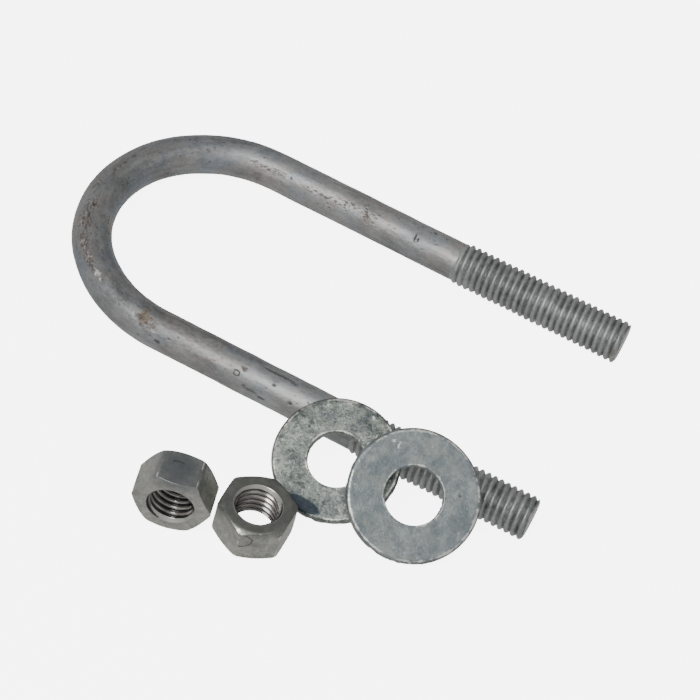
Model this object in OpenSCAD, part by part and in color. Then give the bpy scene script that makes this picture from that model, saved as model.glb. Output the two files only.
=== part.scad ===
// Round-bend U-bolt, 1/2-13 thread, laid flat with its two flat washers
// and its two hex nuts loose beside it.
// Millimetres. +X runs along the legs towards the threaded ends, +Y runs
// from the near leg to the far leg, +Z is up. The origin is the middle of
// the whole row at the level it rests on.

/* [Rod] */
// Diameter of the plain rod
rod_d = 11.3; // [10.8:0.1:11.8]
// Distance between the axes of the two legs
leg_spacing = 73.2; // [72:0.1:76]
// Straight length of the far leg, from the bend to its tip
far_leg_length = 111.3; // [108:0.1:114]
// Straight length of the near leg, from the bend to its tip
near_leg_length = 114.1; // [113:0.1:118]

/* [Thread] */
// Diameter over the thread crests
thread_d = 12.7; // [12.5:0.05:12.8]
// Length of thread on each leg
thread_length = 52.6; // [50:0.1:54]
// Length of the taper where the thread runs out on the rod
thread_runout = 1.4; // [1:0.1:2]
// Chamfer at each threaded tip
tip_chamfer = 0.8; // [0.6:0.1:1.4]

/* [Washers] */
// Outside diameter of washer 1, the one underneath
washer_1_od = 34.9; // [34.7:0.1:35]
// Hole diameter of washer 1
washer_1_hole_d = 15.3; // [14.3:0.1:15.5]
// Outside diameter of washer 2, the one on top
washer_2_od = 36.5; // [36.3:0.1:36.6]
// Hole diameter of washer 2
washer_2_hole_d = 15.8; // [14.8:0.1:16]
// Thickness of the flat washers
washer_t = 2.8; // [2.6:0.05:2.85]
// Rounding cone at the washer's outer corner
washer_edge = 0.3; // [0.1:0.05:0.5]

/* [Nuts] */
// Distance across the flats of a hex nut
nut_af = 19.05; // [18.5:0.05:19.1]
// Height of a hex nut
nut_h = 11.1; // [10.9:0.05:11.2]
// Bore of a hex nut, over the tips of its thread
nut_bore_d = 11; // [10.6:0.05:11.3]
// Width of the countersink at each mouth of a nut
nut_mouth_d = 13.1; // [12.8:0.1:14]
// Diameter of the flat ring the corner chamfer leaves on each face
nut_face_d = 18.3; // [17.8:0.1:18.4]

/* [Layout] */
// Place of washer 1 along the near leg
washer_1_x = 61.4; // [61.2:0.1:61.6]
// Slope of washer 1 as it leans on the near leg, in degrees
washer_1_slope = 24.5; // [24.3:0.1:24.7]
// Gap left between pieces that rest on each other
rest_gap = 0.15; // [0.1:0.05:0.2]

/* [Hidden] */
$fn = 96;
rod_r = rod_d/2;
thread_r = thread_d/2;
bend_r = leg_spacing/2;
washer_1_r = washer_1_od/2;
washer_2_r = washer_2_od/2;
// the legs lie on their thread crests
axis_z = thread_r;
// washer 1: its back face rests on the crests of the near leg, its rim on the ground
washer_1_off = thread_r + rest_gap;
washer_1_s = washer_1_r - (axis_z + cos(washer_1_slope)*washer_1_off)/sin(washer_1_slope);
washer_1_y = -bend_r - sin(washer_1_slope)*washer_1_off + cos(washer_1_slope)*washer_1_s;
washer_1_z = axis_z + cos(washer_1_slope)*washer_1_off + sin(washer_1_slope)*washer_1_s;
// washer 2: one side on washer 1, the other on the near leg
washer_2_x = 84.05;
washer_2_slope = 29.08;
washer_2_turn = 11.69;
washer_2_y = -50.69;
washer_2_z = 9.45;
// nut 1 stands on a flat, nut 2 lies on a face
nut_1_x = 30.5;
nut_1_y = -85.2;
nut_1_turn = -75.8;
nut_2_x = 51.15;
nut_2_y = -77.95;
nut_2_turn = 151.4;
nut_ac = nut_af/cos(30);
// corner the row so that its middle is the origin
shift_x = -(near_leg_length - bend_r - rod_r)/2;
nut_1_low = nut_1_y + sin(nut_1_turn)*nut_h/2 - cos(nut_1_turn)*nut_ac/2;
shift_y = -(bend_r + thread_r + nut_1_low)/2;

module in_row() { translate([shift_x, shift_y, 0]) children(); }

// one straight leg from the bend to its tip, along +X
module leg(len) {
  plain = len - thread_length;
  rotate([0, 90, 0]) {
    cylinder(r = rod_r, h = plain + 1);
    translate([0, 0, plain - thread_runout])
      cylinder(r1 = rod_r, r2 = thread_r, h = thread_runout);
    translate([0, 0, plain]) cylinder(r = thread_r, h = thread_length - tip_chamfer);
    translate([0, 0, len - tip_chamfer])
      cylinder(r1 = thread_r, r2 = thread_r - tip_chamfer, h = tip_chamfer);
  }
}

module rod_body() {
  rotate([0, 0, 90]) rotate_extrude(angle = 180) translate([bend_r, 0]) circle(r = rod_r);
  translate([0, bend_r, 0]) leg(far_leg_length);
  translate([0, -bend_r, 0]) leg(near_leg_length);
}

// a flat washer, back face at z = 0, front face up
module washer_body(washer_r, hole_d) {
  difference() {
    union() {
      cylinder(r1 = washer_r - washer_edge, r2 = washer_r, h = washer_edge);
      translate([0, 0, washer_edge]) cylinder(r = washer_r, h = washer_t - 2*washer_edge);
      translate([0, 0, washer_t - washer_edge])
        cylinder(r1 = washer_r, r2 = washer_r - washer_edge, h = washer_edge);
    }
    translate([0, 0, -1]) cylinder(d = hole_d, h = washer_t + 2);
  }
}

// a hex nut, middle of its bore at the origin, axis along +Z
module nut_body() {
  half = nut_h/2;
  face_r = nut_face_d/2;
  bore_r = nut_bore_d/2;
  mouth_r = nut_mouth_d/2;
  mouth_depth = mouth_r - bore_r;
  out = nut_ac/2 - face_r + 0.5;
  drop = out*tan(30);
  difference() {
    intersection() {
      cylinder(d = nut_ac, h = nut_h, center = true, $fn = 6);
      rotate_extrude() polygon([
        [0, -half], [face_r, -half], [face_r + out, -half + drop],
        [face_r + out, half - drop], [face_r, half], [0, half]
      ]);
    }
    rotate_extrude() polygon([
      [0, -half - 1], [mouth_r + 1, -half - 1], [bore_r, -half + mouth_depth],
      [bore_r, half - mouth_depth], [mouth_r + 1, half + 1], [0, half + 1]
    ]);
  }
}

// bent rod with its two threaded legs, lying flat
module u_bolt_rod() {
  color([0.62, 0.63, 0.64]) in_row() translate([0, 0, axis_z]) rod_body();
}

// washer leaning on the near leg
module flat_washer_1() {
  color([0.68, 0.69, 0.68]) in_row()
    translate([washer_1_x, washer_1_y, washer_1_z])
      rotate([washer_1_slope, 0, 0]) washer_body(washer_1_r, washer_1_hole_d);
}

// washer leaning on washer 1 and on the near leg
module flat_washer_2() {
  color([0.66, 0.68, 0.69]) in_row()
    translate([washer_2_x, washer_2_y, washer_2_z])
      rotate([washer_2_slope, 0, 0]) rotate([0, washer_2_turn, 0])
        washer_body(washer_2_r, washer_2_hole_d);
}

// nut standing on one of its side flats
module hex_nut_1() {
  color([0.5, 0.51, 0.52]) in_row()
    translate([nut_1_x, nut_1_y, nut_af/2])
      rotate([0, 0, nut_1_turn]) rotate([0, 90, 0]) rotate([0, 0, 90]) nut_body();
}

// nut lying on one of its faces
module hex_nut_2() {
  color([0.47, 0.48, 0.49]) in_row()
    translate([nut_2_x, nut_2_y, nut_h/2])
      rotate([0, 0, nut_2_turn]) nut_body();
}

u_bolt_rod();
flat_washer_1();
flat_washer_2();
hex_nut_1();
hex_nut_2();
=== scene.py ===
import math

import bpy
import numpy as np
from mathutils import Matrix, Vector


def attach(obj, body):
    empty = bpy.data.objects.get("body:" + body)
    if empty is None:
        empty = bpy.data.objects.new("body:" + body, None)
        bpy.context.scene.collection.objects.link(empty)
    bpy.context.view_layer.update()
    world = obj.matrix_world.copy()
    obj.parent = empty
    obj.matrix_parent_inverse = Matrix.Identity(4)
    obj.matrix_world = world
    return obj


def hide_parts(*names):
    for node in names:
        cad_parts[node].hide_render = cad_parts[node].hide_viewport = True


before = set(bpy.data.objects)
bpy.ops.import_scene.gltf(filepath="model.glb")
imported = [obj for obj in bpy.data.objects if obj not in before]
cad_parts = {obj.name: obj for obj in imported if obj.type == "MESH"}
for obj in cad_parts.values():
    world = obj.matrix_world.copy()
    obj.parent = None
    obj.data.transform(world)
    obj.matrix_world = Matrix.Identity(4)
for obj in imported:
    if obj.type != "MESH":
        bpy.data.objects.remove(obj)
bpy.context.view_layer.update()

MM = 0.001
TAU = 2 * math.pi

# ---------------------------------------------------------------- sizes, in mm, row frame
LA, LB, RB = 111.3, 114.1, 36.6          # far leg, near leg, bend radius
RS, RT, TL = 5.65, 6.35, 52.6            # rod radius, crest radius, thread length
PITCH = 1.954
SX = -(LB - RB - RS) / 2
SY = 25.16422
ZA = RT
ROOT = 5.22                              # radius at the bottom of the thread


# ---------------------------------------------------------------- helpers
def field(p, size, seed, n=28):
    """Smooth random field over points p (N,3) in mm: lumps about `size` mm across, about -1..1."""
    rng = np.random.default_rng(seed)
    d = rng.normal(size=(n, 3))
    d /= np.linalg.norm(d, axis=1)[:, None]
    k = d * (TAU / (size * rng.uniform(1.4, 3.2, size=(n, 1))))
    ph = rng.uniform(0, TAU, n)
    out = np.zeros(len(p))
    for i in range(n):
        out += np.cos(p @ k[i] + ph[i])
    return out / math.sqrt(n) * 0.9


def smooth(x, a, b):
    t = np.clip((x - a) / (b - a), 0, 1)
    return t * t * (3 - 2 * t)


def grid_mesh(name, verts, faces, mats=None, slots=None, attrs=None, auto=40):
    """Mesh object from numpy arrays in mm."""
    me = bpy.data.meshes.new(name)
    me.from_pydata((verts * MM).tolist(), [], faces.tolist() if hasattr(faces, "tolist") else faces)
    me.validate()
    ob = bpy.data.objects.new(name, me)
    bpy.context.scene.collection.objects.link(ob)
    for m in mats or []:
        me.materials.append(m)
    if slots is not None:
        me.polygons.foreach_set("material_index", np.asarray(slots, dtype=np.int32))
    me.polygons.foreach_set("use_smooth", np.ones(len(me.polygons), dtype=bool))
    for key, val in (attrs or {}).items():
        a = me.attributes.new(key, "FLOAT_VECTOR", "POINT")
        a.data.foreach_set("vector", np.ascontiguousarray(val, dtype=np.float32).ravel())
    if auto:
        me.set_sharp_from_angle(angle=math.radians(auto))
    me.update()
    return ob


def tube_faces(rows, cols, closed_rows=False):
    """Quads for a grid of rows x cols where the columns close on themselves."""
    r = np.arange(rows if closed_rows else rows - 1)
    c = np.arange(cols)
    R, C = np.meshgrid(r, c, indexing="ij")
    R2, C2 = (R + 1) % rows, (C + 1) % cols
    f = np.stack([R * cols + C, R * cols + C2, R2 * cols + C2, R2 * cols + C], -1)
    return f.reshape(-1, 4)


# ---------------------------------------------------------------- materials
class Nodes:
    def __init__(self, name):
        self.mat = bpy.data.materials.new(name)
        self.mat.use_nodes = True
        self.t = self.mat.node_tree
        self.t.nodes.clear()
        self.out = self.t.nodes.new("ShaderNodeOutputMaterial")
        self.bsdf = self.t.nodes.new("ShaderNodeBsdfPrincipled")
        self.t.links.new(self.bsdf.outputs[0], self.out.inputs[0])

    def new(self, kind, **kw):
        n = self.t.nodes.new(kind)
        for k, v in kw.items():
            setattr(n, k, v)
        return n

    def link(self, a, b):
        self.t.links.new(a, b)

    def coords(self, attr=None):
        if attr:
            n = self.new("ShaderNodeAttribute")
            n.attribute_name = attr
            return n.outputs["Vector"]
        return self.new("ShaderNodeTexCoord").outputs["Object"]

    def scaled(self, vec, sx, sy, sz, loc=(0, 0, 0)):
        n = self.new("ShaderNodeMapping")
        self.link(vec, n.inputs["Vector"])
        n.inputs["Scale"].default_value = (sx, sy, sz)
        n.inputs["Location"].default_value = loc
        return n.outputs[0]

    def noise(self, vec, scale, detail=4.0, rough=0.6, dist=0.0):
        n = self.new("ShaderNodeTexNoise")
        self.link(vec, n.inputs["Vector"])
        n.inputs["Scale"].default_value = scale
        n.inputs["Detail"].default_value = detail
        n.inputs["Roughness"].default_value = rough
        n.inputs["Distortion"].default_value = dist
        return n.outputs["Fac"]

    def voronoi(self, vec, scale, feature="F1", out="Distance", rnd=1.0):
        n = self.new("ShaderNodeTexVoronoi", feature=feature)
        self.link(vec, n.inputs["Vector"])
        n.inputs["Scale"].default_value = scale
        n.inputs["Randomness"].default_value = rnd
        return n.outputs[out]

    def ramp(self, fac, stops, interp="LINEAR"):
        n = self.new("ShaderNodeValToRGB")
        n.color_ramp.interpolation = interp
        e = n.color_ramp.elements
        while len(e) > 1:
            e.remove(e[-1])
        for i, (pos, col) in enumerate(stops):
            el = e[0] if i == 0 else e.new(pos)
            el.position = pos
            el.color = (*col, 1) if len(col) == 3 else col
        self.link(fac, n.inputs[0])
        return n.outputs["Color"]

    def remap(self, v, a, b, c=0.0, d=1.0):
        n = self.new("ShaderNodeMapRange")
        n.interpolation_type = "SMOOTHSTEP"
        self.link(v, n.inputs["Value"])
        for k, x in zip(("From Min", "From Max", "To Min", "To Max"), (a, b, c, d)):
            n.inputs[k].default_value = x
        return n.outputs["Result"]

    def math(self, op, a, b=None, c=None):
        n = self.new("ShaderNodeMath", operation=op)
        for i, x in enumerate((a, b, c)):
            if x is None:
                continue
            if isinstance(x, (int, float)):
                n.inputs[i].default_value = x
            else:
                self.link(x, n.inputs[i])
        return n.outputs[0]

    def mix(self, fac, a, b, blend="MIX"):
        n = self.new("ShaderNodeMix", data_type="RGBA", blend_type=blend)
        n.clamp_factor = True
        if isinstance(fac, (int, float)):
            n.inputs["Factor"].default_value = fac
        else:
            self.link(fac, n.inputs["Factor"])
        for sock, x in ((n.inputs[6], a), (n.inputs[7], b)):
            if isinstance(x, tuple):
                sock.default_value = (*x, 1)
            else:
                self.link(x, sock)
        return n.outputs[2]

    def bump(self, height, strength, dist, normal=None):
        n = self.new("ShaderNodeBump")
        n.inputs["Strength"].default_value = strength
        n.inputs["Distance"].default_value = dist
        self.link(height, n.inputs["Height"])
        if normal is not None:
            self.link(normal, n.inputs["Normal"])
        return n.outputs[0]

    def blob(self, vec, centre, radius, wobble, stretch=(1, 1, 1), soft=0.5):
        """Mask that is 1 near centre (m) and 0 beyond radius (m), with a ragged edge."""
        s = self.new("ShaderNodeVectorMath", operation="SUBTRACT")
        self.link(vec, s.inputs[0])
        s.inputs[1].default_value = centre
        m = self.new("ShaderNodeVectorMath", operation="MULTIPLY")
        self.link(s.outputs[0], m.inputs[0])
        m.inputs[1].default_value = tuple(1 / (radius * k) for k in stretch)
        l = self.new("ShaderNodeVectorMath", operation="LENGTH")
        self.link(m.outputs[0], l.inputs[0])
        d = self.math("ADD", l.outputs["Value"], self.math("MULTIPLY", self.math("SUBTRACT", wobble, 0.5), 1.6))
        return self.remap(d, 1.0 - soft, 1.0 + soft * 0.3, 1.0, 0.0)


def principled(n, metallic, spec=0.5, rough=None):
    b = n.bsdf
    b.inputs["Metallic"].default_value = metallic
    b.inputs["Specular IOR Level"].default_value = spec
    if rough is not None:
        b.inputs["Roughness"].default_value = rough


def zinc_rod():
    n = Nodes("zinc_rod")
    co = n.coords("rod_co")
    ma, mb = n.new("ShaderNodeSeparateXYZ"), n.new("ShaderNodeSeparateXYZ")
    n.link(n.coords("rod_ma"), ma.inputs[0])
    n.link(n.coords("rod_mb"), mb.inputs[0])
    rust, track, dark, light = ma.outputs[0], ma.outputs[1], ma.outputs[2], mb.outputs[1]
    big = n.noise(n.scaled(co, 0.5, 1, 1), 62, 3, 0.5, 0.6)
    mid = n.noise(n.scaled(co, 0.45, 1, 1), 300, 6, 0.68, 0.4)
    fine = n.noise(n.scaled(co, 0.7, 1, 1), 1350, 5, 0.7, 0.2)
    streak = n.noise(n.scaled(co, 70, 950, 950), 1.0, 4, 0.6, 0.2)
    tone = n.math("ADD", n.math("MULTIPLY", big, 0.34), n.math("MULTIPLY", mid, 0.3))
    tone = n.math("ADD", tone, n.math("MULTIPLY", fine, 0.22))
    tone = n.math("ADD", tone, n.math("MULTIPLY", streak, 0.14))
    col = n.ramp(tone, [(0.36, (0.17, 0.172, 0.175)), (0.44, (0.27, 0.273, 0.276)),
                        (0.5, (0.36, 0.362, 0.362)), (0.57, (0.46, 0.46, 0.455)), (0.66, (0.58, 0.58, 0.57))])
    hue = n.noise(n.scaled(co, 0.6, 1, 1, (3, 1, 7)), 120, 4, 0.6, 0.8)
    cast = n.ramp(hue, [(0.36, (0.9, 0.965, 1.05)), (0.47, (0.975, 0.995, 1.01)), (0.55, (1.0, 1.0, 1.0)),
                        (0.62, (1.03, 0.995, 0.975)), (0.7, (1.06, 0.975, 0.955))])
    col = n.mix(1.0, col, cast, "MULTIPLY")
    # small dark pits and flecks, thicker in some zones
    fl = n.voronoi(n.scaled(co, 0.6, 1, 1), 760)
    zone = n.noise(n.scaled(co, 0.5, 1, 1, (9, 2, 4)), 140, 3, 0.6, 0.5)
    pit = n.math("MULTIPLY", n.remap(fl, 0.3, 0.08), n.remap(zone, 0.5, 0.62))
    # the localized marks, with ragged edges
    nz = n.math("MULTIPLY", n.math("SUBTRACT", n.noise(n.scaled(co, 0.8, 1, 1, (1, 5, 2)), 900, 4, 0.7, 0.4), 0.5), 2.4)
    nz2 = n.math("MULTIPLY", n.math("SUBTRACT", n.noise(n.scaled(co, 0.6, 1, 1, (7, 3, 8)), 1500, 4, 0.7, 0.3), 0.5), 3.0)
    m_dark = n.remap(n.math("ADD", dark, n.math("MULTIPLY", nz, 0.5)), 0.3, 0.75)
    m_rust = n.remap(n.math("ADD", rust, nz), 0.35, 0.95)
    gate = n.remap(track, 0.03, 0.3)
    m_track_d = n.math("MULTIPLY", n.remap(n.math("ADD", track, nz2), 0.45, 0.95), gate)
    m_track_l = n.math("MULTIPLY", n.remap(n.math("SUBTRACT", n.math("MULTIPLY", track, 0.8), nz2), 0.65, 1.05), gate)
    m_pale_and_highlight = n.remap(n.math("ADD", light, nz2), 0.5, 1.0)
    col = n.mix(n.math("MULTIPLY", pit, 0.7), col, (0.1, 0.095, 0.09))
    col = n.mix(n.math("MULTIPLY", gate, 0.3), col, (0.3, 0.27, 0.25))
    col = n.mix(n.math("MULTIPLY", m_track_d, 0.8), col, (0.09, 0.065, 0.055))
    col = n.mix(n.math("MULTIPLY", m_track_l, 0.75), col, (0.62, 0.55, 0.5))
    col = n.mix(n.math("MULTIPLY", m_dark, 0.85), col, (0.06, 0.062, 0.064))
    rcol = n.ramp(fine, [(0.38, (0.075, 0.058, 0.04)), (0.5, (0.19, 0.145, 0.095)), (0.62, (0.36, 0.3, 0.22))])
    col = n.mix(n.math("MULTIPLY", m_rust, 0.85), col, rcol)
    # pale zinc with painted highlights, from the marks listed above
    col = n.mix(n.math("MULTIPLY", m_pale_and_highlight, 0.9), col, (0.8, 0.78, 0.74))
    n.link(col, n.bsdf.inputs["Base Color"])
    dull = n.math("MAXIMUM", n.math("MAXIMUM", m_rust, m_track_d), m_dark)
    metal = n.math("SUBTRACT", 0.9, n.math("MULTIPLY", dull, 0.6))
    n.link(metal, n.bsdf.inputs["Metallic"])
    rough = n.math("ADD", n.math("MULTIPLY", mid, 0.3), n.math("MULTIPLY", fine, 0.18))
    rough = n.math("ADD", n.math("ADD", rough, 0.2), n.math("MULTIPLY", dull, 0.2))
    n.link(rough, n.bsdf.inputs["Roughness"])
    h = n.math("ADD", n.math("MULTIPLY", mid, 0.5), n.math("MULTIPLY", fine, 0.5))
    h = n.math("SUBTRACT", h, n.math("MULTIPLY", n.math("MAXIMUM", pit, dull), 0.35))
    n.link(n.bump(h, 0.75, 0.0003), n.bsdf.inputs["Normal"])
    n.bsdf.inputs["Specular IOR Level"].default_value = 0.4
    return n.mat


def zinc_thread():
    n = Nodes("zinc_thread")
    co = n.coords("rod_co")
    mb, ma = n.new("ShaderNodeSeparateXYZ"), n.new("ShaderNodeSeparateXYZ")
    n.link(n.coords("rod_mb"), mb.inputs[0])
    n.link(n.coords("rod_ma"), ma.inputs[0])
    hgt, rust, endf = mb.outputs[0], ma.outputs[0], mb.outputs[2]
    big = n.noise(co, 130, 3, 0.6, 0.5)
    mid = n.noise(co, 620, 5, 0.7, 0.4)
    fine = n.noise(co, 2200, 4, 0.65)
    tone = n.math("ADD", n.math("MULTIPLY", big, 0.4), n.math("MULTIPLY", mid, 0.38))
    tone = n.math("ADD", tone, n.math("MULTIPLY", fine, 0.22))
    col = n.ramp(tone, [(0.38, (0.27, 0.282, 0.28)), (0.5, (0.42, 0.432, 0.425)), (0.62, (0.58, 0.59, 0.575))])
    hm = n.math("ADD", hgt, n.math("MULTIPLY", n.math("SUBTRACT", mid, 0.5), 0.35))
    # painted shade in the thread roots and a painted highlight along the crests, both taken from the height across the
    # thread
    col = n.mix(n.remap(hm, 0.36, 0.06, 0.0, 0.72), col, (0.075, 0.082, 0.082))
    col = n.mix(n.remap(hm, 0.8, 1.15, 0.0, 0.22), col, (0.66, 0.66, 0.64))
    nz = n.math("MULTIPLY", n.math("SUBTRACT", mid, 0.5), 2.2)
    m_rust = n.remap(n.math("ADD", rust, nz), 0.35, 0.9)
    col = n.mix(n.math("MULTIPLY", m_rust, 0.6), col, (0.2, 0.16, 0.12))
    # painted highlight: the sheared end faces are painted pale and made less metallic, as if lit bright
    end_highlight = n.ramp(mid, [(0.35, (0.62, 0.63, 0.62)), (0.6, (0.86, 0.86, 0.85))])
    col = n.mix(endf, col, end_highlight)
    n.link(col, n.bsdf.inputs["Base Color"])
    rough = n.math("ADD", n.math("MULTIPLY", mid, 0.35), 0.24)
    n.link(rough, n.bsdf.inputs["Roughness"])
    h = n.math("ADD", n.math("MULTIPLY", mid, 0.65), n.math("MULTIPLY", fine, 0.35))
    n.link(n.bump(h, 0.5, 0.00025), n.bsdf.inputs["Normal"])
    n.link(n.math("SUBTRACT", 0.9, n.math("MULTIPLY", endf, 0.5)), n.bsdf.inputs["Metallic"])
    n.bsdf.inputs["Specular IOR Level"].default_value = 0.4
    return n.mat


def zinc_washer(name, dark_c, mid_c, light_c, seed, grain, mottle, green_amt, bump, fleck):
    n = Nodes(name)
    co = n.scaled(n.coords("mk_co"), 1, 1, 1, seed)
    sep = n.new("ShaderNodeSeparateXYZ")
    n.link(n.coords("mk"), sep.inputs[0])
    dark, light, lens = sep.outputs[0], sep.outputs[1], sep.outputs[2]
    big = n.noise(co, 120, 4, 0.55, 0.6)
    mid = n.noise(co, 480, 6, 0.7, 0.5)
    fine = n.noise(co, 1700, 5, 0.7, 0.2)
    tone = n.math("ADD", n.math("MULTIPLY", big, mottle), n.math("MULTIPLY", mid, 0.35))
    tone = n.math("ADD", tone, n.math("MULTIPLY", fine, grain))
    k = mottle + 0.35 + grain
    col = n.ramp(tone, [(0.41 * k, dark_c), (0.5 * k, mid_c), (0.59 * k, light_c)])
    green = n.noise(n.scaled(co, 1, 1, 1, (5, 5, 5)), 210, 4, 0.65, 0.9)
    col = n.mix(n.remap(green, 0.5, 0.62, 0.0, green_amt), col, (0.39, 0.425, 0.345))
    # short pale scratches and dark pits
    sc = n.voronoi(n.scaled(co, 1.0, 0.35, 1), 900)
    scz = n.noise(n.scaled(co, 1, 1, 1, (2, 8, 3)), 260, 3, 0.6, 0.5)
    col = n.mix(n.math("MULTIPLY", n.remap(sc, 0.2, 0.05), n.remap(scz, 0.46, 0.6, 0.0, fleck)), col, (0.74, 0.76, 0.68))
    pit = n.math("MULTIPLY", n.remap(n.voronoi(co, 1100), 0.22, 0.06), n.remap(scz, 0.52, 0.4, 0.0, fleck))
    col = n.mix(pit, col, (0.12, 0.13, 0.13))
    nz = n.math("MULTIPLY", n.math("SUBTRACT", mid, 0.5), 2.6)
    m_dark = n.remap(n.math("ADD", dark, n.math("MULTIPLY", nz, 0.75)), 0.22, 0.85)
    m_pale_and_highlight = n.remap(n.math("ADD", light, nz), 0.45, 0.9)
    m_nut_reflection = n.remap(n.math("ADD", lens, n.math("MULTIPLY", nz, 0.12)), 0.42, 0.58)
    col = n.mix(n.math("MULTIPLY", m_dark, 0.8), col, (0.1, 0.12, 0.13))
    # pale scratches and nicks, with painted highlights along the rims
    col = n.mix(n.math("MULTIPLY", m_pale_and_highlight, 0.85), col, (0.95, 0.95, 0.88))
    # painted reflection: a near-black patch where nut 2 is reflected in the lower rim of washer 1
    col = n.mix(n.math("MULTIPLY", m_nut_reflection, 0.95), col, (0.035, 0.047, 0.06))
    n.link(col, n.bsdf.inputs["Base Color"])
    n.link(n.math("ADD", n.math("MULTIPLY", mid, 0.3), 0.22), n.bsdf.inputs["Roughness"])
    h = n.math("ADD", n.math("MULTIPLY", mid, 0.55), n.math("MULTIPLY", fine, 0.45))
    n.link(n.bump(h, bump, 0.00026), n.bsdf.inputs["Normal"])
    principled(n, 0.88, 0.4)
    return n.mat


def nut_shell(name, seed, top_shade_c):
    n = Nodes(name)
    co = n.scaled(n.coords("mk_co"), 1, 1, 1, seed)
    sep = n.new("ShaderNodeSeparateXYZ")
    n.link(n.coords("mk"), sep.inputs[0])
    dark, light, up_face_shade = sep.outputs[0], sep.outputs[1], sep.outputs[2]
    big = n.noise(co, 150, 4, 0.6, 0.5)
    mid = n.noise(co, 620, 5, 0.68, 0.4)
    fine = n.noise(co, 2100, 4, 0.65)
    tone = n.math("ADD", n.math("MULTIPLY", big, 0.36), n.math("MULTIPLY", mid, 0.4))
    tone = n.math("ADD", tone, n.math("MULTIPLY", fine, 0.24))
    col = n.ramp(tone, [(0.39, (0.31, 0.312, 0.285)), (0.5, (0.48, 0.48, 0.44)), (0.61, (0.66, 0.655, 0.6))])
    # painted shade: the face turned up is painted dark blue-grey
    col = n.mix(n.math("MULTIPLY", up_face_shade, 0.85), col, top_shade_c)
    nz = n.math("MULTIPLY", n.math("SUBTRACT", mid, 0.5), 1.8)
    m_dark = n.remap(n.math("ADD", dark, n.math("MULTIPLY", nz, 0.35)), 0.35, 0.75)
    m_pale_and_highlight = n.remap(n.math("ADD", light, n.math("MULTIPLY", nz, 0.6)), 0.35, 0.85)
    col = n.mix(n.math("MULTIPLY", m_dark, 0.7), col, (0.1, 0.1, 0.095))
    # scuffs and pale wear, with painted highlights on the edges and corners
    col = n.mix(n.math("MULTIPLY", m_pale_and_highlight, 0.85), col, (1.0, 0.985, 0.93))
    n.link(col, n.bsdf.inputs["Base Color"])
    rough = n.math("ADD", n.math("MULTIPLY", mid, 0.26), 0.2)
    n.link(rough, n.bsdf.inputs["Roughness"])
    h = n.math("ADD", n.math("MULTIPLY", mid, 0.6), n.math("MULTIPLY", fine, 0.4))
    n.link(n.bump(h, 0.5, 0.0002), n.bsdf.inputs["Normal"])
    principled(n, 0.92, 0.4)
    return n.mat


def nut_thread():
    n = Nodes("nut_thread_steel")
    co = n.coords("mk_co")
    sep = n.new("ShaderNodeSeparateXYZ")
    n.link(n.coords("mk"), sep.inputs[0])
    groove, csk = sep.outputs[0], sep.outputs[1]
    big = n.noise(co, 160, 3, 0.5, 0.4)
    mid = n.noise(co, 900, 3, 0.5, 0.2)
    turn = n.noise(n.scaled(co, 0.2, 0.2, 4), 1200, 3, 0.5)
    tone = n.math("ADD", n.math("MULTIPLY", big, 0.6), n.math("MULTIPLY", turn, 0.4))
    col = n.ramp(tone, [(0.36, (0.15, 0.14, 0.138)), (0.5, (0.3, 0.28, 0.27)), (0.64, (0.58, 0.54, 0.51))])
    # painted shade: the thread grooves inside the bore are darkened towards black by depth
    col = n.mix(n.remap(n.math("ADD", groove, n.math("MULTIPLY", n.math("SUBTRACT", mid, 0.5), 0.3)), 0.36, 0.8, 0.0, 0.92), col, (0.03, 0.028, 0.03))
    # painted highlight on the countersunk ring
    col = n.mix(n.math("MULTIPLY", csk, 0.7), col, (0.66, 0.65, 0.6))
    n.link(col, n.bsdf.inputs["Base Color"])
    n.link(n.math("ADD", n.math("MULTIPLY", mid, 0.12), 0.14), n.bsdf.inputs["Roughness"])
    n.link(n.bump(turn, 0.15, 0.00008), n.bsdf.inputs["Normal"])
    principled(n, 1.0)
    return n.mat


M_ROD = zinc_rod()
M_THREAD = zinc_thread()
M_W1 = zinc_washer("zinc_washer_1", (0.075, 0.09, 0.09), (0.205, 0.225, 0.215), (0.5, 0.53, 0.475),
                   (0.11, 0.4, 0.2), 0.45, 0.34, 0.36, 1.0, 0.95)
M_W2 = zinc_washer("zinc_washer_2", (0.185, 0.218, 0.232), (0.268, 0.3, 0.312), (0.4, 0.433, 0.43),
                   (0.7, 0.1, 0.5), 0.34, 0.4, 0.28, 0.7, 0.6)
# the last colour is the painted shade on the face turned up
M_NUT1 = nut_shell("zinc_nut_1", (0.3, 0.2, 0.6), (0.14, 0.158, 0.182))
M_NUT2 = nut_shell("zinc_nut_2", (0.8, 0.5, 0.1), (0.145, 0.155, 0.145))
M_NTHR = nut_thread()


# ---------------------------------------------------------------- the bent rod
# marks on the rod: distance along it from the far tip (mm), angle round it (deg, 0 outward, 90 up),
# half length, half width (mm), strength
RUST = [(222.5, 57, 3.0, 2.6, 1.0), (221.5, 85, 1.8, 2.2, 0.55), (225.6, 45, 1.6, 1.2, 0.8), (253.4, 62, 0.9, 0.7, 1.15),
        (77.8, 160, 2.0, 1.2, 0.55), (81.5, 140, 2.6, 1.6, 0.6), (72, 145, 2.4, 0.7, 0.5), (110, 138, 3, 1.9, 0.45),
        (143.4, 135, 1.1, 0.7, 0.85), (1.3, 170, 1.0, 2.4, 0.9), (5.0, 165, 0.8, 1.8, 0.5), (9, 140, 3, 1.2, 0.45),
        # the patches at 100 to 118 degrees between 213 and 252 mm are partly brown zinc and partly painted shade on the
        # upper inner side
        (16, 138, 4, 1.2, 0.35), (222, 118, 6, 2.2, 0.4), (252, 118, 4, 1.8, 0.42), (188, 20, 2.6, 2.4, 0.6),
        (213, 100, 3, 1.5, 0.35), (262.7, 66, 0.9, 2.4, 0.5)]
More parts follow.
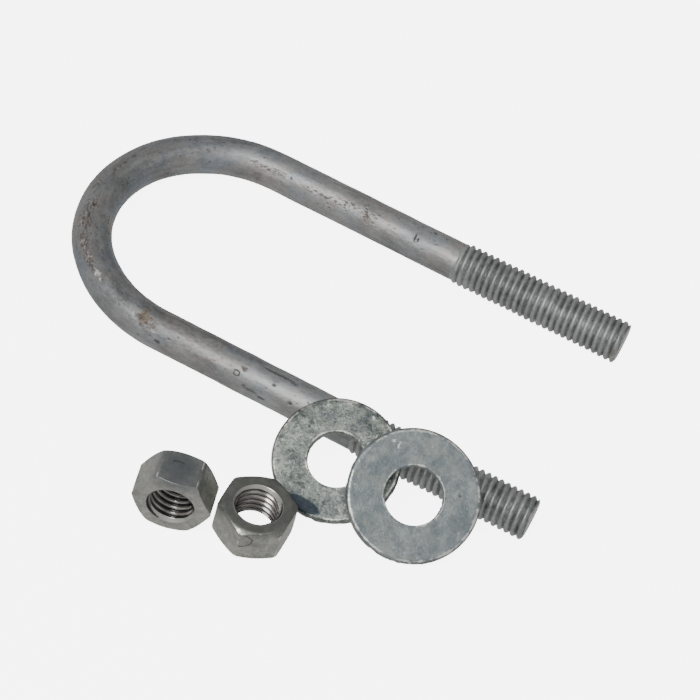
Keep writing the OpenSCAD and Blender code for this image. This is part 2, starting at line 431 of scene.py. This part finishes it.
TRACK = [(172, 66, 5, 3.2, 0.6), (180, 76, 5, 2.8, 0.8), (186, 64, 5, 2.8, 0.9), (193, 55, 4.5, 1.7, 1.0), (199, 54, 4, 1.5, 1.0),
         (203, 56, 2.5, 1.2, 0.9), (112, 136, 12, 1.0, 0.55), (96, 138, 12, 1.1, 0.6), (88, 124, 4, 1.2, 0.55), (82, 132, 3, 1.8, 0.6),
         (134, 120, 8, 1.6, 0.4), (150, 100, 8, 2.0, 0.4), (163, 82, 7, 1.2, 0.6), (224, 50, 3, 1.8, 0.5), (243, 66, 9, 2.2, 0.28)]
DARK = [(66.2, 125, 0.35, 1.5, 1.1), (65.1, 129, 0.3, 0.9, 0.9), (61.7, 82, 0.8, 0.6, 1.0), (58, 84, 0.7, 0.9, 0.6),
        (122, 66, 8, 1.4, 0.5), (106, 77, 2, 1.6, 0.4), (228, 15, 1.2, 0.7, 0.9), (262, 94, 6.5, 0.55, 1.1), (266.5, 88, 2.6, 0.5, 0.8),
        (268.6, 33, 0.8, 0.7, 0.9), (257, 12, 3.2, 0.7, 0.75), (260.5, 4, 1.6, 0.6, 0.8), (255, 17, 1.0, 0.5, 0.8), (238, 70, 0.6, 0.4, 0.7),
        (236, 60, 0.45, 0.4, 0.6), (241, 76, 0.5, 0.4, 0.6), (233, 55, 0.4, 0.4, 0.6), (246, 50, 0.4, 0.35, 0.5), (232, 92, 5, 0.9, 0.45),
        (243, 90, 4, 0.7, 0.45), (226, 22, 2, 0.8, 0.5), (247, 8, 3, 0.8, 0.4), (157, 81, 1.0, 0.6, 0.9), (161, 84, 0.8, 0.5, 0.9),
        (165, 80, 1.2, 0.6, 0.8), (153, 86, 0.9, 0.5, 0.6), (180, 80, 1.4, 0.7, 0.8), (184, 74, 1.0, 0.7, 0.8), (186, 16, 0.8, 1.2, 0.6),
        (191, 8, 1.0, 1.2, 0.6), (213, 78, 1.6, 0.5, 0.6), (208, 84, 1.2, 0.5, 0.5), (262.6, 58, 0.8, 0.7, 0.8)]
# pale zinc and painted highlights: bright glossy patches painted where the light catches the rod
PALE_AND_HIGHLIGHT = [(204.3, 57, 1.5, 0.9, 1.1), (206.2, 54, 0.9, 0.6, 1.0), (109.4, 137, 2.2, 1.2, 0.55), (84, 131, 1.8, 0.9, 0.45),
         (92, 141, 2.6, 0.6, 0.5), (101, 143, 2.2, 0.5, 0.45), (226, 40, 1.6, 1.2, 0.5), (219, 52, 2.0, 1.4, 0.4), (66, 142, 2, 0.8, 0.35)]


def spots(table, s, ph):
    """Soft spots from a table of marks, at points (distance mm, angle rad) of the rod."""
    out = np.zeros(len(s))
    for (s0, a0, ls, lw, k) in table:
        near = np.abs(s - s0) < 3.2 * ls
        da = (ph[near] - math.radians(a0) + math.pi) % TAU - math.pi
        out[near] = np.maximum(out[near], k * np.exp(-((s[near] - s0) / ls) ** 2 - (da * RS / lw) ** 2))
    return out


def rod_frame(s):
    """Centre, outward normal and tangent at distance s (mm) along the rod from the far tip."""
    arc = math.pi * RB
    far = np.minimum(s, LA)
    mid = np.clip(s - LA, 0, arc)
    near = np.maximum(s - LA - arc, 0)
    ang = math.pi / 2 + mid / RB
    c = np.stack([RB * np.cos(ang), RB * np.sin(ang), np.zeros_like(s)], -1)
    c[:, 0] += (LA - far) + near
    u = np.stack([np.cos(ang), np.sin(ang), np.zeros_like(s)], -1)
    t = np.stack([-np.sin(ang), np.cos(ang), np.zeros_like(s)], -1)
    c += np.array([SX, SY, ZA])
    return c, u, t


def build_rod():
    total = LA + math.pi * RB + LB
    step = PITCH / 15
    a = np.arange(0, TL + 1.5, step)
    b = np.arange(TL + 1.5, total - TL - 1.5, 0.5)
    c = total - a[::-1]
    s = np.concatenate([a, b[1:], c])
    n = 120
    phi = np.arange(n) * TAU / n
    S, PH = np.meshgrid(s, phi, indexing="ij")
    S, PH = S.ravel(), PH.ravel()
    near = S > total / 2
    d = np.where(near, total - S, S)                       # distance from the nearer tip
    # straightened coordinates, used for the noise
    q = np.stack([S, RS * np.cos(PH), RS * np.sin(PH)], -1)
    lump = field(q, 5.5, 11) * 0.045 + field(q, 2.0, 12) * 0.02
    m_rust, m_track, m_dark, m_pale_and_highlight = (spots(t, S, PH) for t in (RUST, TRACK, DARK, PALE_AND_HIGHLIGHT))
    ringd = np.hypot((S - 251.8) / 0.95, ((PH - math.radians(41)) * RS) / 0.75)
    m_dark = np.maximum(m_dark, 0.9 * np.exp(-((ringd - 1) / 0.28) ** 2))
    gritty = field(q, 0.9, 21, 36)
    lump += -0.05 * np.clip(m_dark, 0, 1) + (0.045 * np.clip(m_track, 0, 1) + 0.03 * np.clip(m_rust, 0, 1) + 0.006) * gritty
    lump += 0.03 * np.clip(m_pale_and_highlight, 0, 1)
    shank = RS + np.clip(lump, -0.2, 0.12) * smooth(d, TL - 2, TL + 3)
    # the thread: a right-hand helix
    ph = (S + np.where(near, 0.7, 0.0)) / PITCH + PH / TAU
    t = np.abs(2 * (ph - np.floor(ph)) - 1)                # 1 on the crest, 0 in the root
    lin = np.clip((t - 0.03) / 0.95, 0, 1)
    g = 1 - (1 - lin) ** 1.85
    worn = np.clip(field(q, 4.0, 13) * 0.5 + 0.3, 0, 1) * 0.14 + np.clip(field(q, 1.1, 14), 0, 2) * 0.06
    fill = np.clip(field(q, 3.0, 15) * 0.6 + 0.2, 0, 1) * 0.13
    crest = RT - 0.03 - worn
    root = ROOT + 0.1 + fill
    thr = root + (crest - root) * g
    env = smooth(d, TL + 0.3, TL - 1.6)
    r = shank * (1 - env) + thr * env
    # chamfered, slightly rounded tip
    tip = 5.5 + 1.0 * np.clip(d / 0.8, 0, 3) + field(q, 2.5, 16) * 0.08
    tip = np.where(d < 0.25, tip - (0.25 - d) ** 2 * 4, tip)
    r = np.minimum(r, tip)
    C, U, T = rod_frame(S)
    Z = np.array([0, 0, 1.0])
    P = C + r[:, None] * (np.cos(PH)[:, None] * U + np.sin(PH)[:, None] * Z)
    rows = len(s)
    faces = [tube_faces(rows, n)]
    verts = [P]
    # height across the thread; the thread material paints shade in the roots and a highlight on the crests from it
    hgt = [np.where(env > 0.05, (r - ROOT) / (RT - ROOT), 0.55)]
    rco = [np.stack([S, r * np.cos(PH), r * np.sin(PH)], -1)]
    mar = [np.stack([m_rust, m_track, m_dark], -1)]
    lit = [m_pale_and_highlight]
    endm = [np.zeros(len(S))]
    # end faces: sheared ends, a little uneven, sunk inward
    base = rows * n
    for end, row in ((0, 0), (1, rows - 1)):
        r0 = r[row * n:(row + 1) * n]
        ring_prev = np.arange(n) + row * n
        for k, f in enumerate((0.93, 0.8, 0.6, 0.4, 0.2)):
            rr = r0 * f
            ss = np.full(n, s[row])
            cc, uu, tt = rod_frame(ss)
            qq = np.stack([np.full(n, 900.0 * end), rr * np.cos(phi), rr * np.sin(phi)], -1)
            sink = 0.12 + 0.1 * np.clip(field(qq, 2.6, 17 + end) + 0.4, 0, 2) + (0.05 if k else 0)
            sgn = 1 if end == 0 else -1
            P2 = cc + rr[:, None] * (np.cos(phi)[:, None] * uu + np.sin(phi)[:, None] * Z) + sgn * sink[:, None] * tt
            verts.append(P2)
            hgt.append(np.full(n, 0.5))
            rco.append(np.stack([ss, rr * np.cos(phi), rr * np.sin(phi)], -1))
            mar.append(np.zeros((n, 3)))
            lit.append(np.zeros(n))
            endm.append(np.ones(n))
            ring = np.arange(n) + base
            base += n
            i2 = np.roll(np.arange(n), -1)
            if end == 0:
                faces.append(np.stack([ring_prev[i2], ring_prev, ring, ring[i2]], -1))
            else:
                faces.append(np.stack([ring_prev, ring_prev[i2], ring[i2], ring], -1))
            ring_prev = ring
        cc, uu, tt = rod_frame(np.array([s[row]]))
        verts.append(cc + (1 if end == 0 else -1) * 0.2 * tt)
        hgt.append(np.array([0.5]))
        rco.append(np.array([[s[row], 0, 0]]))
        mar.append(np.zeros((1, 3)))
        lit.append(np.zeros(1))
        endm.append(np.ones(1))
        i2 = np.roll(np.arange(n), -1)
        cidx = np.full(n, base)
        base += 1
        tri = np.stack([ring_prev[i2], ring_prev, cidx, cidx], -1) if end == 0 else np.stack([ring_prev, ring_prev[i2], cidx, cidx], -1)
        faces.append(tri)
    V = np.vstack(verts)
    F = np.vstack(faces)
    flist = [tuple(f[::-1]) if f[2] != f[3] else tuple(f[2::-1]) for f in F.tolist()]
    H = np.concatenate(hgt)
    RC = np.vstack(rco) * MM
    # thread faces get the thread material
    row_d = np.where(s > total / 2, total - s, s)
    is_thr = np.repeat(row_d[:-1] < TL + 0.2, n)
    slots = np.ones(len(flist), dtype=int)
    slots[:len(is_thr)] = is_thr.astype(int)
    ob = grid_mesh("u_bolt_rod_zinc", V, flist, [M_ROD, M_THREAD], slots,
                   {"rod_co": RC, "rod_ma": np.vstack(mar),
                    "rod_mb": np.stack([H, np.concatenate(lit), np.concatenate(endm)], -1)}, auto=0)
    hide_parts("u_bolt_rod")
    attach(ob, "u_bolt_rod")
    return ob


# ---------------------------------------------------------------- washers
W_T = 2.8


def dots(table, p):
    out = np.zeros(len(p))
    for (c, r, k) in table:
        out = np.maximum(out, k * np.exp(-(((p - np.array(c)) / np.array(r)) ** 2).sum(1)))
    return out


def stroke(points, r, k, step=0.22):
    """Dots close enough together along a line of points to read as one scratch."""
    out = []
    for a, b in zip(points[:-1], points[1:]):
        a, b = np.array(a, dtype=float), np.array(b, dtype=float)
        for f in np.arange(0, 1, step / np.linalg.norm(b - a)):
            out.append((tuple(a + (b - a) * f), (r, r, r), k))
    return out


SMILE = [(-2.3, 9.5, -1.8), (-1.6, 9.5, -2.15), (-0.9, 9.5, -2.3), (-0.2, 9.5, -2.15), (0.5, 9.5, -1.8)]
HOOK = [(-6.0, 8.6, 4.6), (-6.8, 7.2, 3.7), (-7.35, 6.3, 2.4), (-7.2, 6.5, 1.2), (-6.7, 7.4, 0.2), (-6.0, 8.6, -0.3), (-5.5, 9.4, -0.2)]


def place(local, origin, rot):
    return local @ np.array(rot).T + np.array(origin)


def build_washer(name, node, body, mat, size, origin, rot, seed, rough_back, marks, roll):
    ro, ri, th = size[0] / 2, size[1] / 2, W_T
    n = 330
    ang = np.arange(n) * TAU / n
    # profile loop (r, z): front face from the hole out, rim, back face in, hole wall
    prof = []
    edge_o, edge_i = 0.85, 0.45
    for a in np.linspace(0, 1, 22):
        prof.append(("face", ri + edge_i + a * (ro - ri - edge_o - edge_i), th, 1))
    for k in np.linspace(0, math.pi / 2, 6)[1:]:
        prof.append(("rim", ro - edge_o + edge_o * math.sin(k), th - edge_o + edge_o * math.cos(k), 1))
    for z in np.linspace(th - edge_o, 0.25, 5)[1:]:
        prof.append(("rim", ro, z, 0))
    for k in np.linspace(0, math.pi / 2, 4)[1:]:
        prof.append(("rim", ro - 0.25 + 0.25 * math.cos(k), 0.25 - 0.25 * math.sin(k), 0))
    for a in np.linspace(0, 1, 12)[1:]:
        prof.append(("back", ro - 0.25 - a * (ro - ri - 0.5), 0.0, -1))
    for k in np.linspace(0, math.pi / 2, 4)[1:]:
        prof.append(("hole", ri + 0.25 - 0.25 * math.sin(k), 0.25 - 0.25 * math.cos(k), 0))
    for z in np.linspace(0.25, th - edge_i, 6)[1:]:
        prof.append(("hole", ri, z, 0))
    for k in np.linspace(0, math.pi / 2, 5)[1:-1]:
        prof.append(("hole", ri + edge_i - edge_i * math.cos(k), th - edge_i + edge_i * math.sin(k), 1))
    rows = len(prof)
    R = np.array([p[1] for p in prof])
    Zp = np.array([p[2] for p in prof])
    kind = [p[0] for p in prof]
    RR, AA = np.meshgrid(R, ang, indexing="ij")
    ZZ = np.repeat(Zp[:, None], n, 1)
    X = RR * np.cos(AA)
    Y = RR * np.sin(AA)
    P = np.stack([X.ravel(), Y.ravel(), ZZ.ravel()], -1)
    K = np.repeat(np.array([{"face": 0, "rim": 1, "back": 2, "hole": 3}[k] for k in kind]), n)
    rad = np.hypot(P[:, 0], P[:, 1])
    out = np.stack([P[:, 0] / rad, P[:, 1] / rad, np.zeros(len(P))], -1)
    q = P.copy()
    # punched outline: slightly out of round, ragged where it broke through
    ring = np.stack([np.cos(AA.ravel()) * 20, np.sin(AA.ravel()) * 20, np.zeros(len(P))], -1)
    wob = field(ring, 9, seed) * 0.06
    rag = np.clip(field(np.stack([ring[:, 0], ring[:, 1], P[:, 2] * 3], -1), 1.6, seed + 1), -1, 1)
    low = 1 - smooth(P[:, 2], 0.2, th * 0.55)              # towards the back face
    dr = np.zeros(len(P))
    rim = K == 1
    dr[rim] = (wob - 0.08 - low * rough_back * np.clip(rag + 0.4, 0, 1.4) * 0.35)[rim]
    hole = K == 3
    dr[hole] = (np.abs(wob) * 0.6 + low * rough_back * np.clip(rag + 0.2, 0, 1.2) * 0.25)[hole]
    P += out * dr[:, None]
    face = (K == 0) | (K == 1) & (P[:, 2] > th - edge_o)
    P[:, 2] += np.where(face, field(q, 5, seed + 2) * 0.03 + field(q, 1.6, seed + 3) * 0.012 - 0.05, 0)
    P[:, 2] += np.where(K == 2, np.abs(field(q, 5, seed + 4)) * 0.03, 0)
    # the rolled edge left by the punch: the face drops towards the rim on one side, with a fine ridge inside it
    aa = np.arctan2(q[:, 1], q[:, 0])
    side = 0.35 + 0.65 * np.clip(np.cos(aa - math.radians(roll[0])) + 0.35, 0, 1)
    edge_r = ro - roll[1] - 0.25 * field(ring, 5, seed + 7)
    drop = smooth(rad, edge_r, ro) * roll[2] * side
    ridge = np.exp(-((rad - edge_r) / 0.28) ** 2) * 0.05 * side * np.clip(field(ring, 1.6, seed + 8) + 0.7, 0, 1.5)
    P[:, 2] += np.where(face, ridge * (K == 0) - drop, 0)
    dk, lt, nut_reflection_mk = (dots(t, q) for t in marks)
    # painted highlights: bright bands along the rolled edge, the outer arris and the lip of the hole
    lt = np.maximum(lt, np.where(face, np.exp(-((rad - edge_r) / 0.3) ** 2) * side * np.clip(field(ring, 2.2, seed + 9) * 0.6 + 0.15, 0, 0.55), 0))
    arris = np.exp(-((rad - (ro - 0.75)) / 0.42) ** 2) * (q[:, 2] > th - edge_o - 0.05)
    lt = np.maximum(lt, arris * np.clip(0.8 + 0.4 * field(ring, 4, seed + 6), 0.25, 1.1))
    lip = np.exp(-((rad - (ri + 0.35)) / 0.3) ** 2) * (q[:, 2] > th - edge_i - 0.05)
    lt = np.maximum(lt, lip * np.clip(0.7 + 0.4 * field(ring, 5, seed + 12), 0.15, 1.0))
    P[:, 2] += np.where(K == 0, -0.06 * np.clip(dk, 0, 1) * 0.5 + 0.05 * np.clip(dots(marks[1], q), 0, 1) * field(q, 0.8, seed + 5), 0)
    V = place(P, origin, rot)
    F = tube_faces(rows, n, closed_rows=True)[:, ::-1]
    ob = grid_mesh(name, V, F, [mat], None, {"mk_co": P * MM, "mk": np.stack([dk, lt, nut_reflection_mk], -1)}, auto=0)
    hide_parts(node)
    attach(ob, body)
    return ob


def rot_x(a):
    c, s = math.cos(math.radians(a)), math.sin(math.radians(a))
    return np.array([[1, 0, 0], [0, c, -s], [0, s, c]])


def rot_y(a):
    c, s = math.cos(math.radians(a)), math.sin(math.radians(a))
    return np.array([[c, 0, s], [0, 1, 0], [-s, 0, c]])


def rot_z(a):
    c, s = math.cos(math.radians(a)), math.sin(math.radians(a))
    return np.array([[c, -s, 0], [s, c, 0], [0, 0, 1]])


# ---------------------------------------------------------------- nuts
AF, NH, NB, NM, NF = 19.05, 11.1, 11.0, 13.1, 18.3


def build_nut(name, node, body, mat, origin, rot, seed, marks, dent):
    half, face_r, mouth, bore = NH / 2, NF / 2, NM / 2, NB / 2
    ac = AF / math.cos(math.pi / 6)
    n = 360
    ang = np.arange(n) * TAU / n
    # hexagon with slightly rounded corners: corners on the X axis
    a0 = np.mod(ang, math.pi / 3) - math.pi / 6
    hexr = (AF / 2) / np.cos(a0)
    rc = 0.35
    lim = ac / 2 - rc * 0.9
    hexr = np.where(hexr > lim - 0.3, np.minimum(hexr, lim + 0.05 - ((np.clip(ac / 2 - hexr, 0, 1) - 0.4) ** 2) * 0.3), hexr)
    fallen = lambda r: half - np.maximum(0, r - face_r) * math.tan(math.radians(30))
    rows = []
    # top face, from the mouth to the outline
    fr = np.array([0, 0.14, 0.3, 0.46, 0.62, 0.78, 0.9, 0.965, 1.0])
    inner = mouth + 0.15
    for a in fr:
        r = inner + a * (hexr - inner)
        rows.append((r, fallen(r), 0))
    # side, with a small round at the top and bottom edges
    ztop = fallen(hexr)
    for k in (0.07, 0.2, 0.55):
        rows.append((hexr + 0.0 * k, ztop - k, 1))
    for a in np.linspace(0, 1, 44)[1:-1]:
        rows.append((hexr, (ztop - 0.55) * (1 - 2 * a), 1))
    for k in (0.55, 0.2, 0.07):
        rows.append((hexr, -ztop + k, 1))
    for a in fr[::-1]:
        r = inner + a * (hexr - inner)
        rows.append((r, -fallen(r), 2))
    n_out = len(rows)
    R = np.array([np.broadcast_to(r[0], (n,)) for r in rows])
    Zr = np.array([np.broadcast_to(r[1], (n,)) for r in rows])
    # soften the corner between faces and sides
    Rs, Zs = R.copy(), Zr.copy()
    for it in range(1):
        Rs[1:-1] = R[1:-1] * 0.5 + (R[:-2] + R[2:]) * 0.25
        Zs[1:-1] = Zr[1:-1] * 0.5 + (Zr[:-2] + Zr[2:]) * 0.25
        for i in (8, 9, n_out - 9, n_out - 10):
            w = 0.55
            R[i] = R[i] * (1 - w) + Rs[i] * w
            Zr[i] = Zr[i] * (1 - w) + Zs[i] * w
    # bore: countersinks and the internal thread, from the bottom up
    step = PITCH / 14
    z = np.arange(-half, half + 1e-6, step)
    z = np.linspace(-half, half, len(z))
    A = np.broadcast_to(ang, (len(z), n))
    Zb = np.repeat(z[:, None], n, 1)
    ph = Zb / PITCH - A / TAU + 0.35
    t = np.abs(2 * (ph - np.floor(ph)) - 1)
    lin = np.clip((t - 0.14) / 0.7, 0, 1)
    g = 0.6 * lin + 0.4 * lin * lin * (3 - 2 * lin)        # 1 = thread tip (towards the axis)
    major = 6.42
    rb = major - (major - bore) * g
    depth = half - np.abs(Zb)
    csk = mouth - depth * 1.0
    rb = np.maximum(rb, csk)
    Rall = np.vstack([R, rb])
    Zall = np.vstack([Zr, Zb])
    Aall = np.broadcast_to(ang, Rall.shape)
    P = np.stack([(Rall * np.cos(Aall)).ravel(), (Rall * np.sin(Aall)).ravel(), Zall.ravel()], -1)
    q = P.copy()
    total_rows = len(Rall)
    outer = np.repeat(np.arange(total_rows) < n_out, n)
    rad = np.maximum(np.hypot(P[:, 0], P[:, 1]), 1e-6)
    out = np.stack([P[:, 0] / rad, P[:, 1] / rad, np.zeros(len(P))], -1)
    lump = field(q, 4, seed) * 0.035 + field(q, 1.5, seed + 1) * 0.012 - 0.05
    rowk = np.concatenate([np.array([r[2] for r in rows]), np.full(len(z), 3)])
    rk = np.repeat(rowk, n)
    P += out * (lump * (rk == 1))[:, None]
    P[:, 2] += np.where(rk == 0, lump, 0) - np.where(rk == 2, lump, 0)
    for (c, rr, dd) in dent:
        hit = np.exp(-(((q - np.array(c)) / np.array(rr)) ** 2).sum(1)) * dd
        P -= out * (hit * (rk == 1))[:, None]
        P[:, 2] -= hit * (rk == 0) * 0.7
    dk, lt, fl = (dots(t, q) for t in marks)
    # the edges and the mouth are painted a little brighter: a painted highlight, with some rubbed wear
    rubbed_and_highlight = np.zeros(total_rows)
    rubbed_and_highlight[[8, 9, 10, n_out - 9, n_out - 10, n_out - 11]] = (0.75, 0.95, 0.25, 0.75, 0.95, 0.25)
    lt = np.maximum(lt, np.repeat(rubbed_and_highlight, n) * np.clip(field(q, 2.5, seed + 3) * 0.55 + 0.8, 0.1, 1.1))
    # painted highlight down the hex corners
    corner = np.exp(-((np.mod(np.arctan2(q[:, 1], q[:, 0]) + math.pi / 6, math.pi / 3) - math.pi / 6) * ac / 2 / 0.28) ** 2)
    lt = np.maximum(lt, corner * (rk == 1) * np.clip(field(q, 3, seed + 4) * 0.5 + 0.6, 0, 0.95))
    # inside: how deep in the groove, for painted shade in the grooves, and the countersunk ring, for a painted
    # highlight
    g_all = np.concatenate([np.zeros(n_out * n), (1 - g).ravel()])
    sunk = np.concatenate([np.zeros(n_out * n), (np.maximum(csk, rb) <= csk + 1e-6).astype(float).ravel()])
    dk = np.where(rk == 3, g_all * (1 - sunk), dk)
    lt = np.where(rk == 3, sunk, lt)
    V = place(P, origin, rot)
    F = tube_faces(total_rows, n, closed_rows=True)[:, ::-1]
    slots = np.repeat((np.arange(total_rows) >= n_out).astype(int), n)
    ob = grid_mesh(name, V, F, [mat, M_NTHR], slots, {"mk_co": P * MM, "mk": np.stack([dk, lt, fl * (rk <= 1)], -1)}, auto=0)
    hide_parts(node)
    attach(ob, body)
    return ob


rod = build_rod()
w1 = build_washer("flat_washer_1_zinc", "flat_washer_1", "flat_washer_1", M_W1, (34.9, 15.3),
                  (25.475, -25.164995, 7.236397), rot_x(24.5), 31, 0.5,
                  ([((-7.8, 9.6, 2.8), (2.6, 2.2, 2), 0.75), ((0.6, 12.6, 2.8), (2.2, 1.6, 2), 0.6), ((3.9, -10.6, 2.8), (2.2, 1.4, 2), 0.65),
                    ((-5.2, -8.2, 2.8), (1.8, 1.4, 2), 0.4), ((-11.5, 2.0, 2.8), (2.0, 2.5, 2), 0.3), ((-12.6, -4.5, 2.8), (1.6, 2.4, 2), 0.35)],
                   [((-16.2, 3.5, 2.8), (0.5, 2.6, 2), 0.6), ((-15.0, -4.0, 2.8), (0.6, 3.0, 2), 0.45), ((-12.4, 10.8, 2.8), (1.6, 1.2, 2), 0.4),
                    ((-3.5, 15.4, 2.8), (2.6, 0.6, 2), 0.5), ((3.6, 14.8, 2.8), (1.4, 0.8, 2), 0.5), ((-10.5, -9.5, 2.8), (1.5, 1.0, 2), 0.35)],
                   # painted reflection of nut 2 on the lower rim of washer 1
                   [((-2.4, -15.2, 2.8), (6.6, 2.3, 3), 1.0)]),
                  (150, 1.9, 0.2))
w2 = build_washer("flat_washer_2_zinc", "flat_washer_2", "flat_washer_2", M_W2, (36.5, 15.8),
                  (48.125, -25.52578, 9.45), rot_x(29.08) @ rot_y(11.69), 51, 1.0,
                  ([((-6.9, 7.4, 2.8), (2.2, 2.4, 2), 0.5), ((-3.0, 10.6, 2.8), (2.4, 1.8, 2), 0.4), ((10.8, 5.9, 2.8), (0.45, 0.45, 2), 0.9),
                    ((-16.6, 2.0, 2.8), (1.2, 2.4, 2), 0.5), ((13.5, -2.0, 2.8), (1.8, 3.4, 2), 0.35), ((8.6, -13.0, 2.8), (1.8, 0.9, 2), 0.4)],
                   [((-11.6, 10.2, 2.8), (0.7, 0.9, 2), 1.0), ((-9.9, 9.8, 2.8), (0.5, 1.1, 2), 0.9), ((7.4, -16.4, 2.8), (0.9, 0.8, 2), 1.0),
                    ((-7.2, 14.4, 2.8), (3.0, 0.45, 2), 0.45), ((-15.4, -3.0, 2.8), (0.6, 3.4, 2), 0.4), ((14.9, 7.0, 2.8), (0.5, 2.0, 2), 0.35)],
                   []),
                  (120, 1.3, 0.12))
nut1 = build_nut("hex_nut_1_zinc", "hex_nut_1", "hex_nut_1", M_NUT1,
                 (-5.425, -60.03578, AF / 2), rot_z(-75.8) @ rot_y(90) @ rot_z(90), 71,
                 (stroke(SMILE, 0.3, 1.1) + [((4.5, 4.0, 5.5), (1.6, 1.6, 1), 0.3)],
                  [((-0.4, -8.8, 5.4), (4.5, 1.0, 1), 0.55), ((-5.0, -6.8, 5.4), (2.0, 1.4, 1), 0.35), ((-7.0, 8.8, 4.6), (0.9, 0.9, 0.9), 0.5)],
                  # the side flat turned up, for painted shade
                  [((0.0, 9.6, 0.0), (9.0, 2.2, 12.0), 1.0)]),
                 [((-0.9, 9.5, -2.2), (1.3, 2, 0.35), 0.1), ((4.5, 9.5, 1.0), (0.9, 2, 0.9), 0.04)])
nut2 = build_nut("hex_nut_2_zinc", "hex_nut_2", "hex_nut_2", M_NUT2,
                 (15.225, -52.78578, NH / 2), rot_z(151.4), 91,
                 (stroke(HOOK, 0.3, 0.95) + [((-8.6, 4.4, -1.0), (0.7, 0.7, 0.9), 0.4)],
                  [((-4.2, 9.3, 5.3), (0.9, 0.7, 0.7), 1.0), ((-8.2, 4.8, 5.2), (0.5, 0.9, 0.5), 0.7), ((-5.4, 9.4, 2.5), (0.35, 0.35, 3.2), 0.5)],
                  # the top face, for painted shade
                  [((0.0, 0.0, 5.9), (40.0, 40.0, 1.6), 1.0)]),
                 [((-7.2, 6.5, 2.0), (0.35, 0.35, 1.2), 0.06), ((-6.3, 8.1, 0.0), (0.6, 0.6, 0.35), 0.05), ((-4.3, 9.4, 5.5), (0.8, 0.7, 1.0), 0.1)])

# ---------------------------------------------------------------- floor, light, camera
fme = bpy.data.meshes.new("floor")
fme.from_pydata([(-3, -3, 0), (3, -3, 0), (3, 3, 0), (-3, 3, 0)], [], [(0, 1, 2, 3)])
floor = bpy.data.objects.new("floor", fme)
bpy.context.scene.collection.objects.link(floor)
floor.location.z = -0.0001
fn = Nodes("pale_floor")
fn.bsdf.inputs["Base Color"].default_value = (0.9, 0.9, 0.9, 1)
fn.bsdf.inputs["Roughness"].default_value = 0.9
fn.bsdf.inputs["Specular IOR Level"].default_value = 0.1
fn.bsdf.inputs["Emission Color"].default_value = (1, 1, 1, 1)
fn.bsdf.inputs["Emission Strength"].default_value = 6.0
fme.materials.append(fn.mat)
# the floor glows like a light table; what it throws on the metal comes from the lower half of the world
floor.visible_diffuse = False
floor.visible_glossy = False

world = bpy.data.worlds.new("studio")
bpy.context.scene.world = world
world.use_nodes = True
wt = world.node_tree
bg = wt.nodes["Background"]


def wmath(op, a, b):
    m = wt.nodes.new("ShaderNodeMath")
    m.operation = op
    for k, v in enumerate((a, b)):
        if isinstance(v, (int, float)):
            m.inputs[k].default_value = v
        else:
            wt.links.new(v, m.inputs[k])
    return m.outputs[0]


wc = wt.nodes.new("ShaderNodeTexCoord")
wsep = wt.nodes.new("ShaderNodeSeparateXYZ")
wt.links.new(wc.outputs["Generated"], wsep.inputs[0])
sky = wmath("SUBTRACT", 0.5, wmath("MULTIPLY", wsep.outputs["Y"], 0.2))
sky = wmath("SUBTRACT", sky, wmath("MULTIPLY", wsep.outputs["X"], 0.06))
mr = wt.nodes.new("ShaderNodeMapRange")
mr.interpolation_type = "SMOOTHSTEP"
wt.links.new(wsep.outputs["Z"], mr.inputs["Value"])
for k, v in zip(("From Min", "From Max", "To Min", "To Max"), (-0.12, 0.16, 0.0, 1.0)):
    mr.inputs[k].default_value = v
up = mr.outputs["Result"]
val = wmath("ADD", wmath("MULTIPLY", sky, up), wmath("MULTIPLY", wmath("SUBTRACT", 1.0, up), 0.5))
wt.links.new(val, bg.inputs["Color"])
bg.inputs["Strength"].default_value = 1.0


def area(name, loc, target, size, power, colour=(1, 1, 1)):
    li = bpy.data.lights.new(name, "AREA")
    li.shape = "RECTANGLE"
    li.size, li.size_y = size
    li.energy = power
    li.color = colour
    ob = bpy.data.objects.new(name, li)
    bpy.context.scene.collection.objects.link(ob)
    ob.location = loc
    ob.rotation_mode = "QUATERNION"
    ob.rotation_quaternion = (Vector(target) - Vector(loc)).to_track_quat("-Z", "Y")
    return ob


area("key", (-0.22, -0.5, 0.72), (0, 0, 0), (0.3, 0.3), 2.9)
area("top", (0.15, -0.12, 0.95), (0, 0, 0), (0.45, 0.35), 0.5)

AZ, EL, ROLL, DIST, FPX = 13.16, 48.25, 17.0, 795.44, 2873.96
tgt = np.array([47.03 + SX, -11.95 + SY, 6.35])
a, e, r = math.radians(AZ), math.radians(EL), math.radians(ROLL)
back = np.array([math.sin(a) * math.cos(e), -math.cos(a) * math.cos(e), math.sin(e)])
right = np.cross(-back, [0, 0, 1.0])
right /= np.linalg.norm(right)
up = np.cross(right, -back)
right, up = math.cos(r) * right + math.sin(r) * up, -math.sin(r) * right + math.cos(r) * up
cam_data = bpy.data.cameras.new("camera")
cam = bpy.data.objects.new("camera", cam_data)
bpy.context.scene.collection.objects.link(cam)
loc = (tgt + back * DIST) * MM
cam.matrix_world = Matrix(((right[0], up[0], back[0], loc[0]), (right[1], up[1], back[1], loc[1]),
                           (right[2], up[2], back[2], loc[2]), (0, 0, 0, 1)))
cam_data.sensor_width = 36
cam_data.lens = FPX / 700 * 36
cam_data.clip_start, cam_data.clip_end = 0.01, 20
bpy.context.scene.camera = cam
